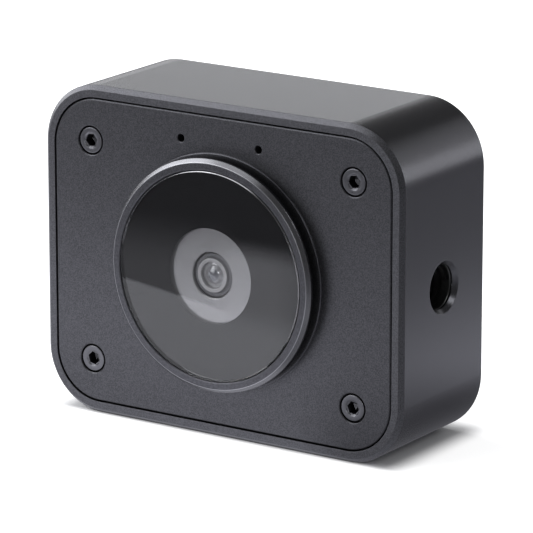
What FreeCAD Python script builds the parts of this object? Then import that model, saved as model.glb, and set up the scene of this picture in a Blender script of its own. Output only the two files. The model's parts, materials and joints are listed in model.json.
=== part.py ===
import FreeCAD, Part
import math
import os

# Compact desk camera in a milled aluminium case.
# Millimetres. +Z up, +X to the camera's left-hand side as a viewer faces it, front towards -Y.
# The origin lies under the middle of the overall box, on the plane that the case stands on.

V = FreeCAD.Vector

# ---- case, overall ----
body_w = 60.0            # case width, X
body_h = 48.0            # case height, Z
body_d = 21.5            # case depth, front rim to back face
corner_r = 9.0           # outer corner radius, seen from the front
front_chamfer = 0.64     # around the rim
rear_chamfer = 0.45      # around the back face
rim_wall = 1.68          # rim thickness around the front panel
wall = 2.8               # side walls behind the rim
rear_wall = 2.2          # back wall

# ---- front panel and its screws ----
panel_t = 3.2
panel_gap = 0.22         # slot between panel and rim
panel_edge = 0.16        # edge chamfer on the panel
gasket_t = 0.4           # panel gasket, pressed
gasket_gap = 0.06        # gasket to rim wall
screw_inset = 8.0        # screw axis from the case's outer edges
screw_thread_r = 1.0     # M2
thread_fit = 0.05        # radial gap drawn in every threaded or pressed joint
screw_head_r = 1.9
screw_head_h = 2.0
screw_head_chamfer = 0.15
screw_sink = 0.1         # head below the panel face
hex_af = 1.5             # key size
hex_depth = 1.0
counterbore_gap = 0.2    # radial gap around the head
counterbore_chamfer = 0.12
screw_hole_gap = 0.1     # radial gap around the shank in the panel
screw_len = 6.0
screw_tip_room = 0.7
pillar_r = 3.2           # screw pillar in each corner
pillar_round = 0.9       # how far its inner edge is rounded

# ---- lens bezel ----
disc_out = 2.8           # glass front ahead of the rim
glass_r = 15.0
glass_t = 0.7
glass_bevel = 0.12
glass_gap = 0.1          # radial gap around the glass
mask_t = 0.1             # black print on the back of the glass
window_r = 6.85          # clear window in the print
adhesive_t = 0.15
adhesive_w = 2.8
floor_t = 0.3            # web behind the glass
floor_hole_r = 8.4
face_w = 1.16            # flat of the ring beyond the glass
bezel_bevel = 0.54       # bevel outside the flat
bezel_rim_t = 0.86       # rim thickness, front to back
pocket_chamfer = 0.14
neck_wall = 0.3          # neck in the shadow groove, outside the glass pocket
flange_lip = 0.35        # base flange beyond the rim
flange_t = 0.3
flange_chamfer = 0.1
collar_r = 12.85         # threaded collar that takes the ring
collar_wall = 1.45
collar_gap = 0.06
spigot_r = 13.4          # threaded spigot through the panel
spigot_wall = 1.6
spigot_gap = 0.1         # radial gap in the panel hole
lock_ring_w = 2.0
lock_ring_t = 0.75
lock_notches = 6
lock_notch_w = 1.6
lock_notch_depth = 0.7
plate_t = 0.8            # light grey plate around the lens
plate_overlap = 1.4      # plate beyond the web's hole
plate_hole_r = 3.27
seal_inset = 0.4         # light seal outside the yoke's hole

# ---- autofocus module, on the lens axis ----
travel = 0.3             # focus travel, forward
foam_min_t = 0.31        # least light seal between plate and module
foam_w = 1.2
run_gap = 0.15           # moving to fixed pieces, at the sides
barrel_head_r = 2.6
barrel_r = 3.1
barrel_mouth_r = 1.95
barrel_lip_r = 1.75      # lip that stops the front lens
lens_land = 0.28         # flat edge of each lens, held in the barrel
lens_air = 0.12          # axial play behind the front and middle lenses
barrel_front_out = 1.4   # barrel nose ahead of the yoke
barrel_shoulder = 0.05   # barrel shoulder behind the yoke's front
barrel_back_in = 0.45    # barrel back ahead of the module base
carrier_wall = 0.85
carrier_flange = 0.5
carrier_flange_t = 0.3
coil_gap = 0.02          # also round the lenses
coil_inset = 0.04        # coil below the carrier's flanges
magnet_t = 0.55
magnet_w = 6.0
magnet_h = 1.75
yoke_wall = 0.3
yoke_h = 3.0
yoke_corner_r = 0.8      # also the module base
room_corner_r = 0.4      # inside the yoke, and what fits there
yoke_hole_gap = 0.35
spring_t = 0.06
spring_room = 0.09       # left in front of the upper spring at full travel
spring_ring_w = 0.45
spring_arm_w = 0.16
spring_bore_gap = 0.1    # spring's bore to the carrier's
spring_tab_w = 0.2
spring_sweep = 77.0      # degrees that each arm goes round
spring_frame_wall = 0.35
module_base_t = 2.0
module_rim_h = 0.2
rim_gap = 0.1            # module rim to the carrier, at the sides
filter_side = 6.8
filter_t = 0.3
filter_gap = 0.1
filter_open = 6.0
sensor_side = 7.4
sensor_t = 0.7
sensor_room = 0.5        # clear space around the sensor in the base
sensor_air = 0.4         # clear space in front of it

# ---- circuit boards ----
board_t = 1.0
board_gap = 0.6          # board to screw pillars
board_edge_gap = 0.9     # board to the base boss and the roof
board_r = 1.0
board_hole_inset = 3.0   # fixing holes from the board's sides and bottom
board_top_inset = 8.0    # upper fixing holes from the board's top
board_hole_gap = 0.15
board_back_room = 1.65   # sensor board behind the panel, at least
main_standoff = 5.35     # main board ahead of the back wall
main_board_t = 1.2
boss_r = 2.3
wafer_head_r = 1.7
wafer_head_h = 0.6
wafer_key_af = 0.9
wafer_key_depth = 0.4
spacer_af = 4.0
spacer_stud = 4.2
spacer_tip_room = 0.5
board_screw_room = 0.4
spacer_tap_share = 0.6   # of the spacer's length that is threaded from the front
soc_side = 12.0
soc_t = 1.3
pad_t = 1.0              # thermal pad
pad_side = 12.5
pedestal_side = 14.0
pedestal_corner_r = 1.5
memory_w = 5.0
memory_h = 8.0
memory_t = 1.0
inductor_side = 3.0
inductor_t = 1.6
inductor_pitch = 9.0
chip_side = 1.6
chip_aspect = 0.7
chip_t = 0.6
chip_pitch = 3.2
chips_in_row = 6
chip_from_socket = 2.5
usb_to_processor = 14.0
usb_to_inductors = 5.0
memory_gap = 0.3         # memory to the pedestal's edge
memory_drop = 1.5        # memory below the processor's middle
socket_drop = 1.0        # cable sockets below the lens axis
link_w = 10.0            # flat cable between the boards
link_t = 0.2
link_run = 3.0           # straight ends of the flat cable
socket_w = 12.0
socket_h = 4.0
socket_t = 1.2
socket_slot_gap = 0.05

# ---- microphones ----
mic_half_pitch = 6.47    # hole from the centre line, unless the flange is in the way
mic_edge = 5.6           # hole from the case's top
mic_flange_gap = 2.4     # hole axis from the flange
mic_hole_r = 0.55
mic_hole_chamfer = 0.1
mic_mesh_r = 1.2
mic_mesh_t = 0.1
mic_boot_r = 1.3
mic_w = 3.5
mic_h = 2.65
mic_t = 1.0
mic_port_r = 0.35

# ---- 1/4-20 camera threads ----
tripod_mouth_r = 3.8     # outer edge of the case's chamfer
tripod_clear_r = 3.2     # hole in the skin over the insert
tripod_skin = 0.9        # case skin over the insert
tripod_thread_r = 2.56   # thread's bore
insert_r = 4.6
insert_len = 6.0
insert_end = 0.8         # closed inner end
insert_lead = 0.6        # lead-in cone
insert_boss_wall = 1.2
insert_boss_end = 0.2

# ---- USB socket ----
usb_w = 8.94             # outside of the shell
usb_h = 3.26
usb_wall = 0.3
usb_sink = 0.5           # shell mouth below the back face
usb_hole_gap = 0.25
usb_mouth_chamfer = 0.35
usb_from_board = 6.0     # axis above the board's bottom edge
usb_block = 1.6
usb_tongue_w = 6.69
usb_tongue_t = 0.7
usb_tongue_short = 0.9   # tongue end inside the mouth
usb_seal_len = 0.9
usb_seal_inset = 0.2

# ---- places worked out from the sizes above ----
total_d = body_d + disc_out
disc_y = -total_d / 2
front_y = disc_y + disc_out
back_y = front_y + body_d
mid_y = front_y + body_d / 2
rear_in_y = back_y - rear_wall
panel_back_y = front_y + panel_t
ledge_y = panel_back_y + gasket_t
lens_z = body_h / 2
screw_x = body_w / 2 - screw_inset
screw_zs = (screw_inset, body_h - screw_inset)
screw_head_y = front_y + screw_sink
screw_seat_y = screw_head_y + screw_head_h

glass_back_y = disc_y + glass_t
mask_back_y = glass_back_y + mask_t
pocket_y = mask_back_y + adhesive_t
plate_y = pocket_y + floor_t
plate_back_y = plate_y + plate_t
pocket_r = glass_r + glass_gap
neck_r = pocket_r + neck_wall
rim_r = glass_r + face_w + bezel_bevel
flange_r = rim_r + flange_lip
flange_y = front_y - flange_t

module_h = yoke_h + module_base_t
sensor_board_y = max(plate_back_y + foam_min_t + module_h, panel_back_y + board_back_room)
base_y = sensor_board_y - module_base_t
yoke_y = base_y - yoke_h
sensor_board_back = sensor_board_y + board_t
main_back_y = rear_in_y - main_standoff
main_y = main_back_y - main_board_t

barrel_y = yoke_y - barrel_front_out
shoulder_y = yoke_y + barrel_shoulder
barrel_back = base_y - barrel_back_in
carrier_in = barrel_r + thread_fit
hub_r = carrier_in + carrier_wall
carrier_r = hub_r + carrier_flange
yoke_in = carrier_r + run_gap + magnet_t
yoke_half = yoke_in + yoke_wall
lower_spring_y = base_y - module_rim_h - spring_t
carrier_back = lower_spring_y
spring_frame_y = yoke_y + yoke_wall
upper_spring_y = spring_frame_y + travel + spring_room
carrier_y = upper_spring_y + spring_t
magnet_y = carrier_y

board_half = screw_x - pillar_r - board_gap
insert_back = tripod_skin + insert_len
boss_depth = insert_back + insert_boss_end
board_bottom = boss_depth + board_edge_gap
board_top = body_h - wall - board_edge_gap
hole_x = board_half - board_hole_inset
hole_zs = (board_bottom + board_hole_inset, board_top - board_top_inset)
usb_z = board_bottom + usb_from_board
soc_z = usb_z + usb_to_processor
inductor_z = usb_z + usb_to_inductors
memory_x = pedestal_side / 2 + memory_gap + memory_w / 2
socket_z = lens_z - socket_drop
mic_z = body_h - mic_edge
mic_clear = (flange_r + mic_flange_gap) ** 2 - (mic_z - lens_z) ** 2
mic_x = max(mic_half_pitch, math.sqrt(max(mic_clear, 0.0)))


# ---- shape helpers; every turned piece lies along Y unless it says otherwise ----
def rod(r, y0, y1, x=0.0, z=lens_z):
    return Part.makeCylinder(r, y1 - y0, V(x, y0, z), V(0, 1, 0))


def ring(r_out, r_in, y0, y1, x=0.0, z=lens_z):
    return rod(r_out, y0, y1, x, z).cut(rod(r_in, y0 - 1, y1 + 1, x, z))


def cone(r0, r1, y0, y1, x=0.0, z=lens_z):
    return Part.makeCone(r0, r1, y1 - y0, V(x, y0, z), V(0, 1, 0))


def block(x0, x1, y0, y1, z0, z1):
    return Part.makeBox(x1 - x0, y1 - y0, z1 - z0, V(x0, y0, z0))


def centred(w, h, y0, y1, x=0.0, z=lens_z):
    return block(x - w / 2, x + w / 2, y0, y1, z - h / 2, z + h / 2)


def rounded(w, h, r, y0, y1, x=0.0, z=lens_z):
    box = centred(w, h, y0, y1, x, z)
    uprights = [e for e in box.Edges if abs(e.BoundBox.YLength - (y1 - y0)) < 1e-6]
    return box.makeFillet(r, uprights)


def stadium(w, h, y0, y1, x=0.0, z=lens_z):
    ends = [rod(h / 2, y0, y1, x + s * (w - h) / 2, z) for s in (-1, 1)]
    return centred(w - h, h, y0, y1, x, z).fuse(ends).removeSplitter()


def prism(points, y0, y1):
    wire = Part.makePolygon([V(x, y0, z) for x, z in points + points[:1]])
    return Part.Face(wire).extrude(V(0, y1 - y0, 0))


def hexagon(af, y0, y1, x, z):
    corner = af / math.sqrt(3)
    turns = [math.radians(60 * i) for i in range(6)]
    return prism([(x + corner * math.cos(a), z + corner * math.sin(a)) for a in turns], y0, y1)


def turned(edges, x=0.0, z=lens_z):
    # edges are drawn in the (radius, y) plane and turned about the lens axis
    face = Part.Face(Part.Wire(edges))
    face.translate(V(x, 0, z))
    return face.revolve(V(x, 0, z), V(0, 1, 0), 360)


def turned_profile(points):
    corners = [V(r, y, 0) for r, y in points]
    pairs = zip(corners, corners[1:] + corners[:1])
    return turned([Part.LineSegment(a, b).toShape() for a, b in pairs])


def edges_at(shape, y):
    return [e for e in shape.Edges if all(abs(v.Y - y) < 1e-6 for v in e.Vertexes)]


def fused(shapes):
    return shapes[0].fuse(shapes[1:]).removeSplitter()


def corners():
    return [(sx * screw_x, z) for sx in (-1, 1) for z in screw_zs]


def board_holes():
    return [(sx * hole_x, z) for sx in (-1, 1) for z in hole_zs]


# ---- case ----
def cavity():
    return rounded(body_w - 2 * wall, body_h - 2 * wall, corner_r - wall, panel_back_y, rear_in_y)


def pillars():
    # a milled pad fills each corner of the cavity and rounds off around its screw
    pads = []
    for x, z in corners():
        sx, sz = math.copysign(1, x), math.copysign(1, z - lens_z)
        xs = sorted((x - sx * pillar_r, sx * body_w / 2))
        zs = sorted((z - sz * pillar_r, lens_z + sz * body_h / 2))
        pad = block(xs[0], xs[1], panel_back_y, rear_in_y, zs[0], zs[1])
        inner = [e for e in pad.Edges if e.BoundBox.YLength > 1
                 and abs(e.Vertexes[0].X - (x - sx * pillar_r)) < 1e-6
                 and abs(e.Vertexes[0].Z - (z - sz * pillar_r)) < 1e-6]
        pads.append(pad.makeFillet(pillar_r * pillar_round, inner).common(cavity()))
    return pads


def rear_bosses():
    # board bosses, and the pedestal that carries heat from the processor
    posts = [rod(boss_r, main_back_y, rear_in_y + 0.5, x, z) for x, z in board_holes()]
    pad_y = main_back_y + soc_t + pad_t
    posts.append(rounded(pedestal_side, pedestal_side, pedestal_corner_r, pad_y, rear_in_y + 0.5, 0, soc_z))
    return posts


def along(shape, side):
    # moves a shape built on the +Y axis through the origin to a thread's place:
    # its mouth on the case's skin, its inner end towards the middle of the case
    if side == "side":
        shape.rotate(V(0, 0, 0), V(0, 0, 1), 90)
        shape.translate(V(body_w / 2, mid_y, lens_z))
    else:
        shape.rotate(V(0, 0, 0), V(1, 0, 0), 90)
        shape.translate(V(0, mid_y, 0))
    return shape


def thread_boss(side):
    # the bosses stop short of the front panel and its gasket
    boss = along(rod(insert_r + insert_boss_wall, wall / 2, boss_depth, 0, 0), side)
    space = block(-body_w, body_w, ledge_y, back_y - rear_chamfer, -1, body_h)
    return boss.common(space)


def thread_hole(side):
    mouth = tripod_mouth_r - tripod_clear_r
    cuts = [cone(tripod_mouth_r + 0.1, tripod_clear_r, -0.1, mouth, 0, 0),
            rod(tripod_clear_r, 0, tripod_skin + 0.1, 0, 0),
            rod(insert_r + thread_fit, tripod_skin, boss_depth + 1, 0, 0)]
    return along(fused(cuts), side)


def housing():
    shell = rounded(body_w, body_h, corner_r, front_y, back_y)
    shell = shell.makeChamfer(front_chamfer, edges_at(shell, front_y))
    shell = shell.makeChamfer(rear_chamfer, edges_at(shell, back_y))
    mouth = rounded(body_w - 2 * rim_wall, body_h - 2 * rim_wall, corner_r - rim_wall,
                    front_y - 1, ledge_y)
    shell = shell.cut([mouth, cavity()])
    shell = fused([shell] + pillars() + rear_bosses() + [thread_boss("side"), thread_boss("base")])
    tap_y = screw_seat_y + screw_len + screw_tip_room
    stud_y = main_y + spacer_stud + spacer_tip_room
    cuts = [rod(screw_thread_r, panel_back_y - 1, tap_y, x, z) for x, z in corners()]
    cuts += [rod(screw_thread_r, main_back_y - 1, stud_y, x, z) for x, z in board_holes()]
    hole_w, hole_h = usb_w + 2 * usb_hole_gap, usb_h + 2 * usb_hole_gap
    port = stadium(hole_w, hole_h, rear_in_y - 1, back_y + 1, 0, usb_z)
    shell = shell.cut(cuts + [port, thread_hole("side"), thread_hole("base")])
    rim = [e for e in edges_at(shell, back_y) if e.BoundBox.XLength < hole_w + 0.1
           and abs(e.BoundBox.Center.z - usb_z) < hole_h and e.BoundBox.ZLength < hole_h + 0.1]
    return shell.makeChamfer(usb_mouth_chamfer, rim).removeSplitter()


def insert(side):
    body = rod(insert_r, tripod_skin, insert_back, 0, 0)
    bore_end = insert_back - insert_end
    bore = rod(tripod_thread_r, tripod_skin, bore_end, 0, 0)
    lead = cone(tripod_clear_r, tripod_thread_r, tripod_skin, tripod_skin + insert_lead, 0, 0)
    return along(body.cut(fused([bore, lead])), side)


# ---- front panel ----
def front_panel():
    w = body_w - 2 * (rim_wall + panel_gap)
    h = body_h - 2 * (rim_wall + panel_gap)
    panel = rounded(w, h, corner_r - rim_wall - panel_gap, front_y, panel_back_y)
    panel = panel.makeChamfer(panel_edge, edges_at(panel, front_y))
    bore_r = screw_head_r + counterbore_gap
    cuts = [rod(spigot_r + spigot_gap, front_y - 1, panel_back_y + 1)]
    for x, z in corners():
        cuts.append(rod(bore_r, front_y - 1, screw_seat_y, x, z))
        cuts.append(cone(bore_r + 2 * counterbore_chamfer, bore_r,
                         front_y - counterbore_chamfer, front_y + counterbore_chamfer, x, z))
        cuts.append(rod(screw_thread_r + screw_hole_gap, front_y, panel_back_y + 1, x, z))
    for sx in (-1, 1):
        cuts.append(rod(mic_hole_r, front_y - 1, panel_back_y + 1, sx * mic_x, mic_z))
        cuts.append(cone(mic_hole_r + 2 * mic_hole_chamfer, mic_hole_r, front_y - mic_hole_chamfer,
                         front_y + mic_hole_chamfer, sx * mic_x, mic_z))
    return panel.cut(cuts)


def panel_screws():
    screws = []
    for x, z in corners():
        head = rod(screw_head_r, screw_head_y, screw_seat_y, x, z)
        head = head.makeChamfer(screw_head_chamfer, edges_at(head, screw_head_y))
        shank = rod(screw_thread_r - thread_fit, screw_seat_y, screw_seat_y + screw_len, x, z)
        key = hexagon(hex_af, screw_head_y - 1, screw_head_y + hex_depth, x, z)
        screws.append(head.fuse(shank).cut(key))
    return Part.makeCompound(screws)


def panel_gasket():
    out = rim_wall + gasket_gap
    outer = rounded(body_w - 2 * out, body_h - 2 * out, corner_r - out, panel_back_y, ledge_y)
    inner = rounded(body_w - 2 * wall, body_h - 2 * wall, corner_r - wall,
                    panel_back_y - 1, ledge_y + 1)
    return outer.cut(inner)


# ---- lens bezel ----
def bezel_ring():
    face_r = glass_r + face_w
    back_y_of_rim = disc_y + bezel_rim_t
    return turned_profile([
        (pocket_r + pocket_chamfer, disc_y), (face_r, disc_y), (rim_r, disc_y + bezel_bevel),
        (rim_r, back_y_of_rim), (neck_r, back_y_of_rim), (neck_r, flange_y),
        (collar_r + collar_gap, flange_y), (collar_r + collar_gap, plate_y),
        (floor_hole_r, plate_y), (floor_hole_r, pocket_y), (pocket_r, pocket_y),
        (pocket_r, disc_y + pocket_chamfer)])


def bezel_base():
    spigot_back = panel_back_y + lock_ring_t
    collar_in, spigot_in = collar_r - collar_wall, spigot_r - spigot_wall
    return turned_profile([
        (collar_in, plate_y + collar_gap), (collar_r, plate_y + collar_gap), (collar_r, flange_y),
        (flange_r - flange_chamfer, flange_y), (flange_r, flange_y + flange_chamfer),
        (flange_r, front_y), (spigot_r, front_y), (spigot_r, spigot_back),
        (spigot_in, spigot_back), (spigot_in, front_y), (collar_in, front_y)])


def bezel_lock_ring():
    outer = spigot_r + lock_ring_w
    nut = ring(outer, spigot_r + thread_fit, panel_back_y, panel_back_y + lock_ring_t)
    notches = []
    for i in range(lock_notches):
        notch = block(outer - lock_notch_depth, outer + 1, panel_back_y - 1,
                      panel_back_y + lock_ring_t + 1, lens_z - lock_notch_w / 2,
                      lens_z + lock_notch_w / 2)
        notch.rotate(V(0, 0, lens_z), V(0, 1, 0), 360 / lock_notches * (i + 0.5))
        notches.append(notch)
    return nut.cut(notches)


def cover_glass():
    glass = rod(glass_r, disc_y, glass_back_y)
    return glass.makeChamfer(glass_bevel, edges_at(glass, disc_y))


def glass_mask():
    return ring(glass_r, window_r, glass_back_y, mask_back_y)


def glass_adhesive():
    return ring(glass_r, glass_r - adhesive_w, mask_back_y, pocket_y)


def lens_surround():
    return ring(floor_hole_r + plate_overlap, plate_hole_r, plate_y, plate_back_y)


def light_seal():
    inner = barrel_r + yoke_hole_gap + seal_inset
    return ring(inner + foam_w, inner, plate_back_y, yoke_y)


# ---- autofocus module ----
lens_steps = (            # bore radius of each lens seat, and its span behind the barrel's nose
    (2.0, 0.4, 1.3),
    (2.35, 1.3, 2.3),
    (2.75, 2.3, barrel_back - barrel_y))
spacer_bores = (1.5, 1.8, 2.1)
spacer_t = (0.25, 0.3, 0.35)


def lens_barrel():
    nose = barrel_y
    points = [(barrel_mouth_r, nose), (barrel_head_r, nose), (barrel_head_r, shoulder_y),
              (barrel_r, shoulder_y), (barrel_r, barrel_back)]
    for r, start, end in reversed(lens_steps):
        points += [(r, nose + end), (r, nose + start)]
    points.append((barrel_lip_r, nose + lens_steps[0][1]))
    return turned_profile(points)


def cap(r, y, rise):
    # a spherical face's outline, from the lens axis out to radius r; rise is along +Y at the axis
    ball = (r * r + rise * rise) / (2 * abs(rise))
    centre = y + rise - math.copysign(ball, rise)
    half = centre + math.copysign(math.sqrt(ball * ball - r * r / 4), rise)
    return Part.Arc(V(0, y + rise, 0), V(r / 2, half, 0), V(r, y, 0)).toShape()


def lens(r, y0, y1, front_bulge, back_bulge):
    # y0 and y1 are the flat lands at the edge; a bulge is positive where the face is convex
    clear = r - lens_land
    stops = [V(clear, y0, 0), V(r, y0, 0), V(r, y1, 0), V(clear, y1, 0)]
    lands = [Part.LineSegment(start, end).toShape() for start, end in zip(stops, stops[1:])]
    axis = Part.LineSegment(V(0, y1 + back_bulge, 0), V(0, y0 - front_bulge, 0)).toShape()
    back = cap(clear, y1, back_bulge)
    return turned([cap(clear, y0, -front_bulge)] + lands + [back, axis])


def lens_front():
    r, start, end = lens_steps[0]
    return lens(r - coil_gap, barrel_y + start, barrel_y + end - lens_air, 0.28, -0.15)


def lens_middle():
    r, start, end = lens_steps[1]
    return lens(r - coil_gap, barrel_y + start + spacer_t[0], barrel_y + end - lens_air, -0.12, 0.12)


def lens_rear():
    r, start, end = lens_steps[2]
    return lens(r - coil_gap, barrel_y + start + spacer_t[1], barrel_y + end - spacer_t[2],
                -0.15, -0.1)


def lens_spacers():
    (r1, s1), (r2, s2) = [step[:2] for step in lens_steps[1:]]
    starts = (s1, s2, lens_steps[2][2] - spacer_t[2])
    rings = zip((r1, r2, r2), spacer_bores, starts, spacer_t)
    return Part.makeCompound([ring(r - coil_gap, bore, barrel_y + a, barrel_y + a + t)
                              for r, bore, a, t in rings])


def lens_carrier():
    hub = ring(hub_r, carrier_in, carrier_y, carrier_back)
    front = ring(carrier_r, carrier_in, carrier_y, carrier_y + carrier_flange_t)
    back = ring(carrier_r, carrier_in, carrier_back - carrier_flange_t, carrier_back)
    return fused([hub, front, back])


def focus_coil():
    return ring(carrier_r - coil_inset, hub_r + coil_gap, carrier_y + carrier_flange_t,
                carrier_back - carrier_flange_t)


def focus_magnets():
    inner = carrier_r + run_gap
    bars = []
    for i in range(4):
        bar = block(inner, yoke_in, magnet_y, magnet_y + magnet_h,
                    lens_z - magnet_w / 2, lens_z + magnet_w / 2)
        bar.rotate(V(0, 0, lens_z), V(0, 1, 0), 90 * i)
        bars.append(bar)
    return Part.makeCompound(bars)


def focus_yoke():
    can = rounded(2 * yoke_half, 2 * yoke_half, yoke_corner_r, yoke_y, base_y)
    room = rounded(2 * yoke_in, 2 * yoke_in, room_corner_r, yoke_y + yoke_wall, base_y + 1)
    return can.cut([room, rod(barrel_r + yoke_hole_gap, yoke_y - 1, base_y)])


def spring_frame():
    frame = rounded(2 * yoke_in, 2 * yoke_in, room_corner_r, spring_frame_y, upper_spring_y)
    side = 2 * (yoke_in - spring_frame_wall)
    return frame.cut(rounded(side, side, room_corner_r, spring_frame_y - 1, upper_spring_y + 1))


def tab(r0, r1, y0, y1, angle):
    # a short bar along a radius, turned about the lens axis
    bar = block(r0, r1, y0, y1, lens_z - spring_tab_w / 2, lens_z + spring_tab_w / 2)
    bar.rotate(V(0, 0, lens_z), V(0, 1, 0), angle)
    return bar


def leaf_spring(y0, side):
    # inner ring on the carrier, outer frame on the module, four swept arms between them
    y1 = y0 + spring_t
    bore = carrier_in + spring_bore_gap
    inner_out = bore + spring_ring_w
    frame_in = side - spring_frame_wall
    outer = rounded(2 * side, 2 * side, room_corner_r, y0, y1)
    outer = outer.cut(rounded(2 * frame_in, 2 * frame_in, room_corner_r, y0 - 1, y1 + 1))
    arm_r = (inner_out + frame_in) / 2
    arm = Part.makeCylinder(arm_r + spring_arm_w / 2, spring_t, V(0, y0, lens_z), V(0, 1, 0),
                            spring_sweep)
    arm = arm.cut(rod(arm_r - spring_arm_w / 2, y0 - 1, y1 + 1))
    pieces = [ring(inner_out, bore, y0, y1), outer]
    for i in range(4):
        piece = arm.copy()
        piece.rotate(V(0, 0, lens_z), V(0, 1, 0), 90 * i)
        pieces.append(piece)
        pieces.append(tab(arm_r, frame_in + spring_bore_gap, y0, y1, 90 * i))
        pieces.append(tab(inner_out - spring_bore_gap, arm_r, y0, y1, 90 * i + spring_sweep))
    return fused(pieces)


def module_base():
    side = 2 * yoke_half
    base = rounded(side, side, yoke_corner_r, base_y, sensor_board_y)
    rim = rounded(2 * yoke_in, 2 * yoke_in, room_corner_r, base_y - module_rim_h, base_y)
    rim = rim.cut(rod(carrier_r + rim_gap, base_y - 1, base_y + 1))
    seat = filter_side + 2 * filter_gap
    room = sensor_side + 2 * sensor_room
    base = fused([base, rim])
    return base.cut([centred(seat, seat, base_y - 1, base_y + filter_t),
                     centred(filter_open, filter_open, base_y, sensor_board_y + 1),
                     centred(room, room, sensor_board_y - sensor_t - sensor_air, sensor_board_y + 1)])


def ir_filter():
    return centred(filter_side, filter_side, base_y, base_y + filter_t)


def image_sensor():
    return centred(sensor_side, sensor_side, sensor_board_y - sensor_t, sensor_board_y)


# ---- boards and what they carry ----
def board(y0, y1):
    h = board_top - board_bottom
    z = (board_top + board_bottom) / 2
    blank = rounded(2 * board_half, h, board_r, y0, y1, 0, z)
    return blank.cut([rod(screw_thread_r + board_hole_gap, y0 - 1, y1 + 1, x, hz)
                      for x, hz in board_holes()])


def spacer_hole_depth():
    # threaded from the front, leaving a solid root above the stud
    return (main_y - sensor_board_back) * spacer_tap_share


def board_spacers():
    spacers = []
    for x, z in board_holes():
        nut = hexagon(spacer_af, sensor_board_back, main_y, x, z)
        stud = rod(screw_thread_r - thread_fit, main_y, main_y + spacer_stud, x, z)
        tap = rod(screw_thread_r, sensor_board_back - 1, sensor_board_back + spacer_hole_depth(), x, z)
        spacers.append(nut.fuse(stud).cut(tap))
    return Part.makeCompound(spacers)


def board_screws():
    screws = []
    for x, z in board_holes():
        head_y = sensor_board_y - wafer_head_h
        head = rod(wafer_head_r, head_y, sensor_board_y, x, z)
        end = sensor_board_back + spacer_hole_depth() - board_screw_room
        shank = rod(screw_thread_r - thread_fit, sensor_board_y, end, x, z)
        key = hexagon(wafer_key_af, head_y - 1, head_y + wafer_key_depth, x, z)
        screws.append(head.fuse(shank).cut(key))
    return Part.makeCompound(screws)


def processor():
    return centred(soc_side, soc_side, main_back_y, main_back_y + soc_t, 0, soc_z)


def thermal_pad():
    return centred(pad_side, pad_side, main_back_y + soc_t, main_back_y + soc_t + pad_t, 0, soc_z)


def memory_chips():
    return Part.makeCompound([centred(memory_w, memory_h, main_back_y, main_back_y + memory_t,
                                      sx * memory_x, soc_z - memory_drop) for sx in (-1, 1)])


def power_inductors():
    return Part.makeCompound([rounded(inductor_side, inductor_side, 0.4, main_back_y,
                                      main_back_y + inductor_t, i * inductor_pitch, inductor_z)
                              for i in (-1, 0, 1)])


def board_chips():
    # two rows on the front of the main board, above the cable socket
    chips = []
    for row in (0, 1):
        z = socket_z + socket_h / 2 + chip_from_socket + row * chip_pitch
        for i in range(chips_in_row):
            x = (i - (chips_in_row - 1) / 2) * chip_pitch
            chips.append(centred(chip_side, chip_side * chip_aspect, main_y - chip_t, main_y, x, z))
    return Part.makeCompound(chips)


def cable_socket(y0, y1, link_y):
    socket = centred(socket_w, socket_h, y0, y1, 0, socket_z)
    slot_w, slot_t = link_w + 2 * socket_slot_gap, link_t + 2 * socket_slot_gap
    slot = block(-slot_w / 2, slot_w / 2, link_y - slot_t / 2, link_y + slot_t / 2,
                 socket_z - socket_h, socket_z + socket_slot_gap)
    return socket.cut(slot)


link_front = sensor_board_back + socket_t / 2
link_back = main_y - socket_t / 2


def link_cable():
    # a flat cable that leaves both sockets downwards and turns once between them
    top, low = socket_z, socket_z - link_run
    r = (link_back - link_front) / 2
    mid = (link_back + link_front) / 2
    layers = []
    for dr in (link_t / 2, -link_t / 2):
        a, b = V(-link_w / 2, mid - r - dr, top), V(-link_w / 2, mid - r - dr, low)
        c, d = V(-link_w / 2, mid + r + dr, low), V(-link_w / 2, mid + r + dr, top)
        bend = Part.Arc(b, V(-link_w / 2, mid, low - r - dr), c).toShape()
        layers.append(([Part.LineSegment(a, b).toShape(), bend, Part.LineSegment(c, d).toShape()],
                       a, d))
    (outer, a0, d0), (inner, a1, d1) = layers
    ends = [Part.LineSegment(a0, a1).toShape(), Part.LineSegment(d0, d1).toShape()]
    wire = Part.Wire(Part.__sortEdges__(outer + inner + ends))
    return Part.Face(wire).extrude(V(link_w, 0, 0))


# ---- microphones ----
def mic_places():
    return [(sx * mic_x, mic_z) for sx in (-1, 1)]


def mic_meshes():
    return Part.makeCompound([rod(mic_mesh_r, panel_back_y, panel_back_y + mic_mesh_t, x, z)
                              for x, z in mic_places()])


def mic_boots():
    top = panel_back_y + mic_mesh_t
    return Part.makeCompound([ring(mic_boot_r, mic_hole_r, top, sensor_board_y - mic_t, x, z)
                              for x, z in mic_places()])


def microphones():
    cans = []
    for x, z in mic_places():
        can = rounded(mic_w, mic_h, 0.3, sensor_board_y - mic_t, sensor_board_y, x, z)
        cans.append(can.cut(rod(mic_port_r, sensor_board_y - mic_t - 1,
                                sensor_board_y - mic_t / 2, x, z)))
    return Part.makeCompound(cans)


# ---- USB socket ----
def usb_shell():
    mouth = back_y - usb_sink
    inner_w, inner_h = usb_w - 2 * usb_wall, usb_h - 2 * usb_wall
    shell = stadium(usb_w, usb_h, main_back_y, mouth, 0, usb_z)
    return shell.cut(stadium(inner_w, inner_h, main_back_y - 1, mouth + 1, 0, usb_z))


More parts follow.
